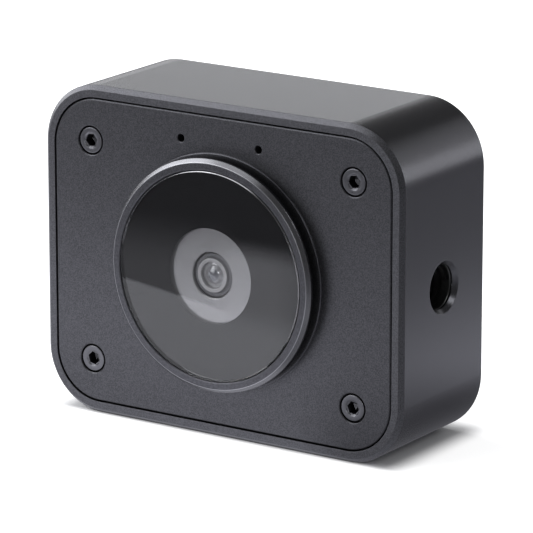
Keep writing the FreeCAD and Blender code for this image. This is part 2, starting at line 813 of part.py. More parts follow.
def usb_tongue():
    inner_w, inner_h = usb_w - 2 * usb_wall, usb_h - 2 * usb_wall
    root = stadium(inner_w, inner_h, main_back_y, main_back_y + usb_block, 0, usb_z)
    end = back_y - usb_sink - usb_tongue_short
    return root.fuse(centred(usb_tongue_w, usb_tongue_t, main_back_y + usb_block, end, 0, usb_z))


def usb_seal():
    y0 = rear_in_y + usb_seal_inset
    y1 = y0 + usb_seal_len
    w, h = usb_w + 2 * usb_hole_gap, usb_h + 2 * usb_hole_gap
    return stadium(w, h, y0, y1, 0, usb_z).cut(stadium(usb_w, usb_h, y0 - 1, y1 + 1, 0, usb_z))


parts = {
    "housing": housing,
    "side_thread_insert": lambda: insert("side"),
    "base_thread_insert": lambda: insert("base"),
    "front_panel": front_panel,
    "panel_screws": panel_screws,
    "panel_gasket": panel_gasket,
    "bezel_base": bezel_base,
    "bezel_lock_ring": bezel_lock_ring,
    "bezel_ring": bezel_ring,
    "glass_adhesive": glass_adhesive,
    "glass_mask": glass_mask,
    "cover_glass": cover_glass,
    "lens_surround": lens_surround,
    "light_seal": light_seal,
    "lens_barrel": lens_barrel,
    "lens_front": lens_front,
    "lens_middle": lens_middle,
    "lens_rear": lens_rear,
    "lens_spacers": lens_spacers,
    "lens_carrier": lens_carrier,
    "focus_coil": focus_coil,
    "focus_magnets": focus_magnets,
    "focus_yoke": focus_yoke,
    "spring_frame": spring_frame,
    "spring_upper": lambda: leaf_spring(upper_spring_y, yoke_in),
    "spring_lower": lambda: leaf_spring(lower_spring_y, yoke_in),
    "module_base": module_base,
    "ir_filter": ir_filter,
    "image_sensor": image_sensor,
    "sensor_board": lambda: board(sensor_board_y, sensor_board_back),
    "main_board": lambda: board(main_y, main_back_y),
    "board_spacers": board_spacers,
    "board_screws": board_screws,
    "processor": processor,
    "thermal_pad": thermal_pad,
    "memory_chips": memory_chips,
    "power_inductors": power_inductors,
    "board_chips": board_chips,
    "sensor_cable_socket": lambda: cable_socket(sensor_board_back, sensor_board_back + socket_t,
                                                link_front),
    "main_cable_socket": lambda: cable_socket(main_y - socket_t, main_y, link_back),
    "link_cable": link_cable,
    "mic_meshes": mic_meshes,
    "mic_boots": mic_boots,
    "microphones": microphones,
    "usb_shell": usb_shell,
    "usb_tongue": usb_tongue,
    "usb_seal": usb_seal,
}

os.makedirs("parts", exist_ok=True)
for name, make in parts.items():
    shape = make()
    if not shape.isValid():
        raise ValueError(name + " is not a valid solid")
    shape.exportStep("parts/" + name + ".step")
    box = shape.BoundBox
    print("%-20s %d solid(s) %8.2f mm3  x %.2f..%.2f  y %.2f..%.2f  z %.2f..%.2f" % (
        name, len(shape.Solids), shape.Volume, box.XMin, box.XMax, box.YMin, box.YMax,
        box.ZMin, box.ZMax))
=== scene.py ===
import json
import math
import bmesh
import bpy
from mathutils import Matrix, Vector


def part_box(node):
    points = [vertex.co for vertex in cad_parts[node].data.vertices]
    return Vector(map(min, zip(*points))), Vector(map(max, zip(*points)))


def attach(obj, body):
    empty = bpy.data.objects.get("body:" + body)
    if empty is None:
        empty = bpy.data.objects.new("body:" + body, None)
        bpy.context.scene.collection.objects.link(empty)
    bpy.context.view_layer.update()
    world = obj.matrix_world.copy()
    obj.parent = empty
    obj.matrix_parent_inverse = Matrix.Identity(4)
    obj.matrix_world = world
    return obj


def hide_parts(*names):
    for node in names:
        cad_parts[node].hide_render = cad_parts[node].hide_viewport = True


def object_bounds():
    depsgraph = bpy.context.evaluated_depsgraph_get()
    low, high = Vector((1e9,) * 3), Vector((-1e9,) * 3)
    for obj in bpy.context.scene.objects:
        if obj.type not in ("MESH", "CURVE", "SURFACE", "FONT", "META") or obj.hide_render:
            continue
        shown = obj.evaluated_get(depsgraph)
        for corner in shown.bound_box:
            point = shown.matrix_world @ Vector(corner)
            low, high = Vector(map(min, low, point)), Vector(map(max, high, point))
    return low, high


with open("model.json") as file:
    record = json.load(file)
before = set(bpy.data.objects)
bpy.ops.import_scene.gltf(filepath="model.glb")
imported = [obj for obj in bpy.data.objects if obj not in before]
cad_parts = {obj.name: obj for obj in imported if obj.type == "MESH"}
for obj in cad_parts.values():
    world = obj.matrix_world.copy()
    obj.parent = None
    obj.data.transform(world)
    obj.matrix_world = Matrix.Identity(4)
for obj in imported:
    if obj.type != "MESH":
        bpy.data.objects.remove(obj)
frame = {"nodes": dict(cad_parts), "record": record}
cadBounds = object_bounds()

mm = 0.001
nodes = frame["nodes"]
slotOf = {part["node"]: part["material_slot"] for part in frame["record"]["subparts"]}
caseBody, focusBody = "camera_body", "focus_group"


def middle(node):
    low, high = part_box(node)
    return (low + high) / 2


lensAxis = middle("cover_glass")       # x and z of every turned piece of the lens
caseLow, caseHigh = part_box("housing")
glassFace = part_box("cover_glass")[0].y


# shader maths: one socket, with Python's own arithmetic on it
class Value:
    def __init__(self, look, socket):
        self.look, self.socket = look, socket

    def maths(self, operation, first, second):
        return self.look.add("ShaderNodeMath", {"operation": operation}, {0: first, 1: second})

    def __add__(self, other):
        return self.maths("ADD", self, other)

    def __radd__(self, other):
        return self.maths("ADD", other, self)

    def __sub__(self, other):
        return self.maths("SUBTRACT", self, other)

    def __rsub__(self, other):
        return self.maths("SUBTRACT", other, self)

    def __mul__(self, other):
        return self.maths("MULTIPLY", self, other)

    def __rmul__(self, other):
        return self.maths("MULTIPLY", other, self)

    def __pow__(self, other):
        return self.maths("POWER", self, other)

    def largest(self, other):
        return self.maths("MAXIMUM", self, other)

    def __lt__(self, other):
        return self.maths("LESS_THAN", self, other)


# a material and its node tree
class Look:
    def __init__(self, name):
        self.material = bpy.data.materials.new(name)
        self.material.use_nodes = True
        self.tree = self.material.node_tree
        self.tree.nodes.clear()
        self.output = self.tree.nodes.new("ShaderNodeOutputMaterial")

    def add(self, kind, settings=None, inputs=None, out=0):
        node = self.tree.nodes.new(kind)
        for name, value in (settings or {}).items():
            setattr(node, name, value)
        for name, value in (inputs or {}).items():
            if isinstance(value, Value):
                self.tree.links.new(value.socket, node.inputs[name])
            else:
                node.inputs[name].default_value = value
        return Value(self, node.outputs[out])

    def objectPlace(self):
        return self.add("ShaderNodeTexCoord", out=3)

    def parts(self, place):
        split = self.add("ShaderNodeSeparateXYZ", None, {0: place})
        outputs = split.socket.node.outputs
        return [Value(self, outputs[i]) for i in range(3)]

    def noise(self, size, detail=3.0, stretch=(1, 1, 1)):
        # size is the width of one blotch in metres
        place = self.add("ShaderNodeMapping", None, {"Vector": self.objectPlace(), "Scale": stretch})
        return self.add("ShaderNodeTexNoise", None, {"Vector": place, "Scale": 1 / size, "Detail": detail})

    def soften(self, value, low, high):
        # 0 below low, 1 above high, smooth between
        return self.add("ShaderNodeMapRange", {"interpolation_type": "SMOOTHSTEP"},
                        {0: value, 1: low, 2: high, 3: 0.0, 4: 1.0})

    def blendColor(self, factor, first, second):
        return self.add("ShaderNodeMix", {"data_type": "RGBA"}, {0: factor, 6: first, 7: second}, out=2)

    def bump(self, height, depth, normal):
        return self.add("ShaderNodeBump", None, {
            "Height": height, "Distance": depth, "Strength": 1.0, "Normal": normal})

    def roundEdges(self, radius):
        return self.add("ShaderNodeBevel", {"samples": 6}, {"Radius": radius})

    def grainColor(self, grain, tone, spread):
        # two shades of one tone, mixed by a grain
        return self.blendColor(grain, shaded(tone, 1 - spread), shaded(tone, 1 + spread))

    def finish(self, inputs):
        shader = self.add("ShaderNodeBsdfPrincipled", None, inputs)
        self.tree.links.new(shader.socket, self.output.inputs["Surface"])
        return self.material


def grey(value, warmth=0.0):
    return (value * (1 + warmth), value, value * (1 - warmth), 1)


def shaded(tone, share):
    return tuple(min(1, c * share) for c in tone[:3]) + (1,)


def distanceFromLensAxis(look):
    x, _, z = look.parts(look.objectPlace())
    x, z = x - lensAxis.x, z - lensAxis.z
    return (x * x + z * z) ** 0.5


caseFinish = {
    "tone": (0.1, 0.1, 0.109, 1), "grainSize": 0.15 * mm, "grainDepth": 0.005 * mm,
    "grainContrast": 0.26, "grainRange": (0.3, 0.7), "cloudSize": 9 * mm, "cloudShare": 0.25,
    "roughness": 0.245, "roughnessSpread": 0.07, "edgeRadius": 0.1 * mm, "metallic": 0.92}
rimFinish = {"frontFrom": -8.6 * mm, "frontRougher": 0.16, "frontShare": 0.7}


def blastedMetal(name, finish, polished=None):
    # bead-blasted and dyed aluminium: fine pits, a slight cloudiness and softened edges
    look = Look(name)
    grain = look.noise(finish["grainSize"])
    cloud = look.noise(finish["cloudSize"])
    tone, contrast = finish["tone"], finish["grainContrast"]
    light, pitted = shaded(tone, 1 + contrast), look.soften(grain, *finish["grainRange"])
    pits = look.blendColor(pitted, shaded(tone, 1 - contrast), light)
    color = look.blendColor(cloud * finish["cloudShare"], pits, light)
    rough = finish["roughness"] + (grain - 0.5) * finish["roughnessSpread"]
    if "frontFrom" in finish:
        # the rim and its chamfer are blasted coarser than the sides
        front = look.parts(look.objectPlace())[1] < finish["frontFrom"]
        rough = rough + front * finish["frontRougher"]
        coarse = look.blendColor(pitted, shaded(tone, finish["frontShare"]), light)
        color = look.blendColor(front, color, coarse)
    if polished:
        # a band cut bright after the blasting, with a painted highlight as a bright line along its edge
        ahead = look.parts(look.objectPlace())[1] < polished["behind"]
        radius = distanceFromLensAxis(look)
        cut = look.soften(radius, polished["from"], polished["to"]) * ahead
        # painted highlight: a lighter line all round where the face meets the bevel, standing for the light
        # its rounded edge catches
        offEdge = ((radius - polished["edgeHighlightAt"]) ** 2.0) ** 0.5
        paintedEdgeHighlight = (1 - look.soften(offEdge, 0.0, polished["edgeHighlightWidth"])) * ahead
        color = look.blendColor(cut, color, polished["tone"])
        color = look.blendColor(paintedEdgeHighlight, color, polished["edgeHighlightTone"])
        rough = rough * (1 - cut) + cut * polished["roughness"]
        grain = grain * (1 - cut * polished["smoother"])
    normal = look.bump(grain, finish["grainDepth"], look.roundEdges(finish["edgeRadius"]))
    return look.finish({"Base Color": color, "Roughness": rough, "Normal": normal,
                        "Metallic": finish["metallic"]})


substance = {"roughnessSpread": 0.12, "paintedShadeShare": 0.45, "paintedShadeFade": 0.3 * mm}


def solid(name, tone, roughness=0.5, metallic=0.0, grainSize=0.2 * mm, grainDepth=0.003 * mm,
          spread=0.1, edge=0.03 * mm, stretch=(1, 1, 1), coat=0.0, paintedShadeBehind=None):
    # a plain substance: two shades of one tone, broken up by an even or stretched grain
    look = Look(name)
    grain = look.noise(grainSize, stretch=stretch)
    normal = look.bump(grain, grainDepth, look.roundEdges(edge))
    color = look.grainColor(grain, tone, spread)
    if paintedShadeBehind:
        # painted shade: darkens what lies behind this y, down in the socket and along the shank
        y = look.parts(look.objectPlace())[1]
        paintedShade = look.soften(y, paintedShadeBehind, paintedShadeBehind + substance["paintedShadeFade"])
        color = look.blendColor(paintedShade, color, shaded(tone, substance["paintedShadeShare"]))
    return look.finish({"Base Color": color, "Metallic": metallic, "Normal": normal, "Coat Weight": coat,
                        "Roughness": roughness + (grain - 0.5) * substance["roughnessSpread"]})


inkFinish = {"tone": grey(0.003), "roughness": 0.4, "coverSize": 0.5 * mm, "spread": 0.3,
             "roughnessSpread": 0.1}


def printedInk(name, finish):
    # screen-printed ink, as flat as the glass under it, with faint uneven cover
    look = Look(name)
    cover = look.noise(finish["coverSize"])
    rough = finish["roughness"] + (cover - 0.5) * finish["roughnessSpread"]
    return look.finish({"Base Color": look.grainColor(cover, finish["tone"], finish["spread"]),
                        "Roughness": rough, "Specular IOR Level": 0.0})


smears = {"size": 6 * mm, "roughness": 0.003}
# the glass's ground edge, and the heights over the lens axis where its painted highlight shows
glassEdge = {"from": 14.84 * mm, "to": 14.88 * mm, "tone": (0.34, 0.34, 0.35, 1), "roughness": 0.2,
             "bright": (2 * mm, 8 * mm)}


def polishedGlass(name, tint, ior, edge=None):
    look = Look(name)
    rough = look.noise(smears["size"], 2.0) * smears["roughness"]
    inputs = {"Base Color": tint, "Transmission Weight": 1.0, "IOR": ior, "Roughness": rough}
    if edge:
        # the edge outside a radius is ground; only its upper part is turned silvery, a painted highlight
        groundEdgeAndHighlight = look.soften(distanceFromLensAxis(look), edge["from"], edge["to"])
        up = look.parts(look.objectPlace())[2] - lensAxis.z
        groundEdgeAndHighlight = groundEdgeAndHighlight * look.soften(up, *edge["bright"])
        inputs["Base Color"] = look.blendColor(groundEdgeAndHighlight, tint, edge["tone"])
        inputs["Metallic"] = groundEdgeAndHighlight
        inputs["Roughness"] = rough + groundEdgeAndHighlight * edge["roughness"]
    return look.finish(inputs)


def coatedLens(name, finish):
    # a lens over a black barrel, drawn opaque: its dark middle is painted shade for the dark inside seen
    # through the glass; greyer where its ground step shows through
    look = Look(name)
    radius, share = distanceFromLensAxis(look), finish["pupilShare"]
    pupil, step = look.soften(radius, *finish["pupilEdge"]), look.soften(radius, *finish["stepEdge"])
    dust = look.noise(finish["dustSize"], 2.0)
    color = look.blendColor(pupil * share + step * (1 - share), finish["pupil"], finish["step"])
    return look.finish({"Base Color": color, "Roughness": finish["roughness"] + dust * finish["haze"],
                        "IOR": finish["ior"], "Coat Weight": finish["coat"]})


def turnedNose(name, finish):
    # a bright turned ring round the lens; past its edge the barrel is dull and dark
    look = Look(name)
    dull = look.soften(distanceFromLensAxis(look), *finish["ringEdge"])
    lines = look.noise(finish["lineSize"])
    ring = look.grainColor(lines, finish["ring"], finish["spread"])
    normal = look.bump(lines, finish["lineDepth"], look.roundEdges(finish["edgeRadius"]))
    rough = finish["roughness"] + dull * finish["dullRougher"]
    return look.finish({"Base Color": look.blendColor(dull, ring, finish["dull"]),
                        "Metallic": finish["metallic"], "Roughness": rough, "Normal": normal})


noseFinish = {
    "ring": (0.262, 0.26, 0.258, 1), "spread": 0.1, "dull": (0.085, 0.085, 0.09, 1),
    "ringEdge": (2.4 * mm, 2.5 * mm), "lineSize": 0.1 * mm, "lineDepth": 0.0006 * mm,
    "edgeRadius": 0.12 * mm, "roughness": 0.38, "dullRougher": 0.25, "metallic": 0.8}
lensFinish = {
    "pupil": (0.05, 0.052, 0.06, 1), "step": (0.23, 0.23, 0.235, 1), "pupilShare": 0.6,
    "pupilEdge": (0.75 * mm, 0.95 * mm), "stepEdge": (1.25 * mm, 1.42 * mm), "dustSize": 0.08 * mm,
    "roughness": 0.05, "haze": 0.06, "ior": 1.8, "coat": 0.6}
panelFinish = dict(caseFinish, tone=(0.079, 0.079, 0.0862, 1), grainDepth=0.0035 * mm,
                   grainContrast=0.34, roughness=0.36, edgeRadius=0.14 * mm)
bezelFinish = dict(caseFinish, tone=(0.078, 0.078, 0.086, 1), grainSize=0.13 * mm, grainContrast=0.4,
                   roughness=0.34, edgeRadius=0.18 * mm)
# the bevel's bright cut band, and a painted highlight along its edge
bevelFinish = {
    "from": 16.12 * mm, "to": 16.2 * mm, "behind": -11.6 * mm, "tone": (0.17, 0.17, 0.18, 1),
    "roughness": 0.26, "smoother": 0.8, "edgeHighlightAt": 16.17 * mm, "edgeHighlightWidth": 0.1 * mm,
    "edgeHighlightTone": (0.34, 0.34, 0.36, 1)}

looks = {
    "case_metal": blastedMetal("caseMetal", dict(caseFinish, **rimFinish)),
    "panel_metal": blastedMetal("panelMetal", panelFinish),
    "bezel_metal": blastedMetal("bezelMetal", bezelFinish, bevelFinish),
    # the screws carry painted shade in their sockets and down their shanks
    "screw_steel": solid("screwSteel", (0.14, 0.14, 0.151), 0.3, 0.95, 0.3 * mm, 0.0, 0.05,
                         paintedShadeBehind=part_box("panel_screws")[0].y + 0.2 * mm),
    "insert_steel": solid("insertSteel", grey(0.13), 0.34, 0.92),
    "gasket_rubber": solid("gasketRubber", grey(0.012), 0.75),
    "cover_glass": polishedGlass("coverGlass", (0.97, 0.972, 0.985, 1), 1.5, edge=glassEdge),
    "black_print": printedInk("blackPrint", inkFinish),
    "tape": solid("tape", grey(0.01), 0.7),
    "surround_plastic": solid("surroundPlate", (0.262, 0.26, 0.258, 1), 0.25, 0.9, 0.13 * mm,
                              0.002 * mm, 0.24, edge=0.07 * mm),
    "foam": solid("foam", grey(0.16), 0.95, grainDepth=0.01 * mm),
    "barrel_plastic": turnedNose("barrelPlastic", noseFinish),
    "lens_glass": coatedLens("lensGlass", lensFinish),
    "module_plastic": solid("modulePlastic", grey(0.02)),
    "coil_copper": solid("coilCopper", (0.72, 0.3, 0.12), 0.3, 0.9),
    "magnet_metal": solid("magnetMetal", grey(0.6, -0.01), 0.25, 1.0),
    "yoke_metal": solid("yokeMetal", grey(0.1), 0.6, 0.4, stretch=(1, 1, 0.1)),
    "spring_metal": solid("springMetal", (0.3, 0.27, 0.23, 1), 0.35, 1.0),
    "filter_glass": polishedGlass("filterGlass", (0.55, 0.9, 0.95, 1), 1.52),
    "sensor_silicon": solid("sensorSilicon", (0.03, 0.05, 0.07), 0.12, 0.3),
    "board_laminate": solid("boardLaminate", (0.012, 0.03, 0.02), 0.4, coat=0.3),
    "spacer_brass": solid("spacerBrass", (0.72, 0.52, 0.24), 0.32, 1.0),
    "board_screw_steel": solid("boardScrewSteel", grey(0.5), 0.3, 1.0),
    "chip_plastic": solid("chipPlastic", grey(0.015), 0.55),
    "small_chip": solid("smallChip", (0.3, 0.2, 0.12)),
    "inductor_body": solid("inductorBody", grey(0.06), 0.6),
    "thermal_silicone": solid("thermalSilicone", (0.2, 0.32, 0.55), 0.8),
    "socket_plastic": solid("socketPlastic", grey(0.6, 0.08)),
    "flat_cable": solid("flatCable", (0.35, 0.13, 0.02), 0.35, coat=0.4),
    "mic_metal": solid("micMetal", (0.75, 0.58, 0.3), 0.3, 1.0),
    "boot_silicone": solid("bootSilicone", grey(0.03), 0.8),
    "mic_mesh": solid("micMesh", grey(0.006), 0.8, grainSize=0.06 * mm, grainDepth=0.02 * mm),
    "usb_steel": solid("usbSteel", grey(0.6), 0.28, 1.0),
    "usb_plastic": solid("usbPlastic", grey(0.012), 0.45),
}

for name, node in nodes.items():
    node.data.materials.clear()
    node.data.materials.append(looks[slotOf[name]])
nodes["ir_filter"].visible_shadow = False      # glass lets the lamps reach what lies behind it
print("materials on", len(nodes), "frame nodes")


# making pieces
def facing(place, outward):
    # a turned piece's own +z laid along outward, its origin at place
    return Matrix.Translation(place) @ Vector(outward).to_track_quat("Z", "Y").to_matrix().to_4x4()


def onLensAxis(y):
    # a turned piece with its face at y, looking forward
    return facing((lensAxis.x, y, lensAxis.z), (0, -1, 0))


cornerRules = {"straight": 0.03, "mostOfSide": 0.35, "guard": 1.25, "steps": 3}


def softened(corners, radius, closed=True):
    # rounds each corner of a profile, with a guard point either side of each round
    points, count = [], len(corners)
    most, guard, steps = cornerRules["mostOfSide"], cornerRules["guard"], cornerRules["steps"]
    for i, corner in enumerate(corners):
        here = Vector(corner)
        if not closed and i in (0, count - 1):
            points.append(here)
            continue
        before, after = Vector(corners[i - 1]) - here, Vector(corners[(i + 1) % count]) - here
        bend = before.angle(after)
        if bend > math.pi - cornerRules["straight"]:
            points.append(here)
            continue
        reach = min(radius / math.tan(bend / 2), most * before.length, most * after.length)
        start, end = here + before.normalized() * reach, here + after.normalized() * reach
        points.append(here + before.normalized() * reach * guard)
        for step in range(steps + 1):
            t = step / steps
            points.append(start * (1 - t) ** 2 + here * 2 * t * (1 - t) + end * t ** 2)
        points.append(here + after.normalized() * reach * guard)
    return [tuple(p) for p in points]


def turnedMesh(name, profile, steps=128, closed=True):
    # profile of (radius, height) turned round z; a point on the axis becomes a pole
    points, rings, faces = [], [], []
    for radius, height in profile:
        if radius < 1e-9:
            rings.append([len(points)] * steps)
            points.append((0, 0, height))
            continue
        rings.append(list(range(len(points), len(points) + steps)))
        angles = [math.tau * i / steps for i in range(steps)]
        points += [(radius * math.cos(angle), radius * math.sin(angle), height) for angle in angles]
    pairs = list(zip(rings, rings[1:] + rings[:1])) if closed else list(zip(rings, rings[1:]))
    for low, high in pairs:
        for i in range(steps):
            j = (i + 1) % steps
            loop = []
            for index in (low[i], low[j], high[j], high[i]):
                if index not in loop:
                    loop.append(index)
            if len(loop) > 2:
                faces.append(loop)
    mesh = bpy.data.meshes.new(name)
    mesh.from_pydata(points, [], faces)
    return mesh


def outward(mesh, sharpAngle=32):
    # welds a closed mesh, turns its faces outwards and shades it smooth up to sharpAngle
    shape = bmesh.new()
    shape.from_mesh(mesh)
    bmesh.ops.remove_doubles(shape, verts=shape.verts, dist=1e-7)
    bmesh.ops.recalc_face_normals(shape, faces=shape.faces)
    shape.to_mesh(mesh)
    shape.free()
    mesh.polygons.foreach_set("use_smooth", [True] * len(mesh.polygons))
    mesh.set_sharp_from_angle(angle=math.radians(sharpAngle))
    return mesh


def joined(name, meshes):
    shape = bmesh.new()
    for mesh in meshes:
        shape.from_mesh(mesh)
    whole = bpy.data.meshes.new(name)
    shape.to_mesh(whole)
    shape.free()
    return whole


def addPiece(name, mesh, slot, stands, place, body=caseBody):
    # links a finished mesh, puts its place into the mesh and hides the frame node it stands for
    mesh.transform(place)
    mesh.materials.clear()
    mesh.materials.append(looks[slot])
    piece = bpy.data.objects.new(name, mesh)
    bpy.context.scene.collection.objects.link(piece)
    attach(piece, body)
    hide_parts(stands)
    return piece


# a Geometry Nodes tree with named inputs, run once and kept as a plain mesh
class Recipe:
    kinds = {int: "NodeSocketInt", float: "NodeSocketFloat"}

    def __init__(self, name, sizes):
        self.tree = bpy.data.node_groups.new(name, "GeometryNodeTree")
        self.sizes, self.identifiers = sizes, {}
        face = self.tree.interface
        face.new_socket("Geometry", in_out="INPUT", socket_type="NodeSocketGeometry")
        for label, value in sizes.items():
            socket = face.new_socket(label, in_out="INPUT", socket_type=self.kinds[type(value)])
            self.identifiers[label] = socket.identifier
        face.new_socket("Geometry", in_out="OUTPUT", socket_type="NodeSocketGeometry")
        self.entry = self.tree.nodes.new("NodeGroupInput")

    def size(self, label):
        return self.entry.outputs[label]

    def add(self, kind, settings=None, inputs=None):
        node = self.tree.nodes.new(kind)
        for name, value in (settings or {}).items():
            setattr(node, name, value)
        for name, value in (inputs or {}).items():
            if isinstance(value, bpy.types.NodeSocket):
                self.tree.links.new(value, node.inputs[name])
            else:
                node.inputs[name].default_value = value
        return node.outputs

    def make(self, name, geometry, slot, source=None):
        real = self.add("GeometryNodeRealizeInstances", None, {0: geometry})[0]
        done = self.add("GeometryNodeSetMaterial", None, {0: real, "Material": looks[slot]})[0]
        self.tree.links.new(done, self.tree.nodes.new("NodeGroupOutput").inputs[0])
        carrier = bpy.data.objects.new(name, source or bpy.data.meshes.new(name))
        bpy.context.scene.collection.objects.link(carrier)
        modifier = carrier.modifiers.new("recipe", "NODES")
        modifier.node_group = self.tree
        for label, identifier in self.identifiers.items():
            modifier[identifier] = self.sizes[label]
        bpy.context.view_layer.update()
        mesh = bpy.data.meshes.new_from_object(
            carrier.evaluated_get(bpy.context.evaluated_depsgraph_get()))
        carrier.modifiers.clear()
        bpy.data.objects.remove(carrier)
        mesh.name = name
        return mesh


def threadMesh(name, sizes, slot):
    # one ridge on a helix round z from height 0; a negative Depth makes it stand inwards
    recipe = Recipe(name + "Recipe", sizes)
    turns = recipe.size("Turns")
    height = recipe.add("ShaderNodeMath", {"operation": "MULTIPLY"}, {0: turns, 1: recipe.size("Pitch")})[0]
    spiral = recipe.add("GeometryNodeCurveSpiral", None, {
        "Resolution": recipe.size("Facets"), "Rotations": turns,
        "Start Radius": recipe.size("Radius"), "End Radius": recipe.size("Radius"), "Height": height})[0]
    upright = recipe.add("GeometryNodeSetCurveNormal", {"mode": "Z_UP"}, {"Curve": spiral})[0]
    ridge = recipe.add("GeometryNodeCurvePrimitiveQuadrilateral", {"mode": "TRAPEZOID"}, {
        "Height": recipe.size("Depth"), "Bottom Width": recipe.size("Root"),
        "Top Width": recipe.size("Crest"), "Offset": 0.0})[0]
    turned = recipe.add("GeometryNodeTransform", None, {
        "Geometry": ridge, "Rotation": (0, 0, math.pi / 2)})[0]
    swept = recipe.add("GeometryNodeCurveToMesh", None, {
        "Curve": upright, "Profile Curve": turned, "Fill Caps": True})[0]
    return recipe.make(name, swept, slot)


# the cover glass, a plain disc with its edge ground off
glassSizes = {"bevel": 0.12 * mm, "backBevel": 0.06 * mm, "round": 0.015 * mm, "backGap": 0.012 * mm,
              "steps": 256}


def makeCoverGlass(sizes):
    low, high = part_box("cover_glass")
    radius, bevel, back = (high.x - low.x) / 2, sizes["bevel"], sizes["backBevel"]
    thick = high.y - low.y - sizes["backGap"]
    profile = softened([(0, 0), (radius - bevel, 0), (radius, -bevel), (radius, back - thick),
                        (radius - back, -thick), (0, -thick)], sizes["round"], closed=False)
    mesh = outward(turnedMesh("coverGlass", profile, sizes["steps"], closed=False))
    piece = addPiece("coverGlass", mesh, "cover_glass", "cover_glass", onLensAxis(low.y))
    piece.visible_shadow = False


makeCoverGlass(glassSizes)
print("cover glass")

# the plate seen round the lens, with both edges of its hole broken
surroundSizes = {"holeRadius": 3.27 * mm, "edge": 0.14 * mm, "round": 0.02 * mm, "steps": 192,
                 "sharpAngle": 60}


def makeSurround(sizes):
    low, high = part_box("lens_surround")
    radius, thick = (high.x - low.x) / 2, high.y - low.y
    hole, edge = sizes["holeRadius"], sizes["edge"]
    profile = softened([(hole + edge, 0), (radius, 0), (radius, -thick), (hole + edge, -thick),
                        (hole, edge - thick), (hole, -edge)], sizes["round"])
    mesh = outward(turnedMesh("surroundPlate", profile, sizes["steps"]), sizes["sharpAngle"])
    addPiece("surroundPlate", mesh, "surround_plastic", "lens_surround", onLensAxis(low.y))


makeSurround(surroundSizes)
print("surround plate")

# the lens barrel's nose, grooved inside against stray light, and the lens in it
barrelSizes = {
    "mouthRadius": 1.86 * mm, "mouthFlare": 0.1 * mm, "ringRadius": 2.43 * mm, "headRadius": 2.6 * mm,
    "slope": 0.3 * mm, "bodyRadius": 3.08 * mm, "shoulder": 0.45 * mm, "seatDepth": 0.34 * mm,
    "grooves": 4, "grooveDepth": 0.05 * mm, "land": 0.04 * mm, "round": 0.05 * mm, "steps": 128,
    "sharpAngle": 40}
lensSizes = {
    "radius": 1.86 * mm, "flat": 1.42 * mm, "seat": 0.3 * mm, "dome": 2.3 * mm, "rings": 14,
    "stepWidth": 0.03 * mm, "stepDepth": 0.02 * mm, "edgeDepth": 0.05 * mm, "thick": 0.6 * mm,
    "steps": 96}


def makeBarrel(sizes):
    low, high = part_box("lens_barrel")
    length, mouth, seat, land = high.y - low.y, sizes["mouthRadius"], sizes["seatDepth"], sizes["land"]
    head, body, shoulder = sizes["headRadius"], sizes["bodyRadius"], sizes["shoulder"]
    grooves = []
    for i in range(sizes["grooves"]):
        depth = -land - (seat - land) * i / sizes["grooves"]
        grooves += [(mouth + sizes["grooveDepth"], depth), (mouth, depth - land)]
    profile = [(sizes["ringRadius"], 0), (head, -sizes["slope"]), (head, -shoulder), (body, -shoulder),
               (body, -length), (mouth, -length), (mouth, -seat)]
    profile = softened(profile + grooves[::-1] + [(mouth + sizes["mouthFlare"], 0)], sizes["round"])
    mesh = outward(turnedMesh("lensBarrel", profile, sizes["steps"]), sizes["sharpAngle"])
    addPiece("lensBarrel", mesh, "barrel_plastic", "lens_barrel", onLensAxis(low.y), focusBody)


def makeFrontLens(sizes, seatDepth):
    # a domed glass with a flat step round it
    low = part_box("lens_barrel")[0]
    flat, dome, radius, thick = sizes["flat"], sizes["dome"], sizes["radius"], sizes["thick"]
    sink = (dome ** 2 - flat ** 2) ** 0.5
    reaches = [flat * i / sizes["rings"] for i in range(sizes["rings"] + 1)]
    cap = [(reach, (dome ** 2 - reach ** 2) ** 0.5 - sink) for reach in reaches]
    profile = cap + [(flat + sizes["stepWidth"], -sizes["stepDepth"]), (radius, -sizes["edgeDepth"]),
                     (radius, -thick), (0, -thick)]
    mesh = outward(turnedMesh("frontLens", profile, sizes["steps"], closed=False))
    addPiece("frontLens", mesh, "lens_glass", "lens_front", onLensAxis(low.y + seatDepth + sizes["seat"]),
             focusBody)


makeBarrel(barrelSizes)
makeFrontLens(lensSizes, barrelSizes["seatDepth"])
print("lens")

# socket screws in the front panel
screwSizes = {
    "headRadius": 1.87 * mm, "headHeight": 2.0 * mm, "headRound": 0.13 * mm, "rimSteps": 6,
    "underRound": 0.04,
    "socketFlats": 1.7 * mm, "socketDepth": 1.7 * mm, "socketTop": 0.015 * mm, "guard": 0.06 * mm,
    "leadRadius": 1.15 * mm, "leadDepth": 0.15 * mm, "leadLip": (0.05 * mm, 0.01 * mm),
    "drillShare": 0.55, "drillDepth": 0.14 * mm, "drillTip": 0.3 * mm,
    "coreRadius": 0.78 * mm, "tipShare": 0.8, "tipLength": 0.3, "round": 0.03 * mm,
    "threadDepth": 0.2 * mm, "pitch": 0.4 * mm, "rootShare": 0.9, "crestShare": 0.15,
    "sunk": 0.02 * mm, "runOut": 0.9 * mm, "threadStart": 0.3 * mm, "threadFacets": 40,
    "inset": 8.0 * mm, "turnedBy": 1.05, "seed": 4, "steps": 96}


def hexRadius(angle, flats):
    return flats / 2 / math.cos(angle % (math.pi / 3) - math.pi / 6)


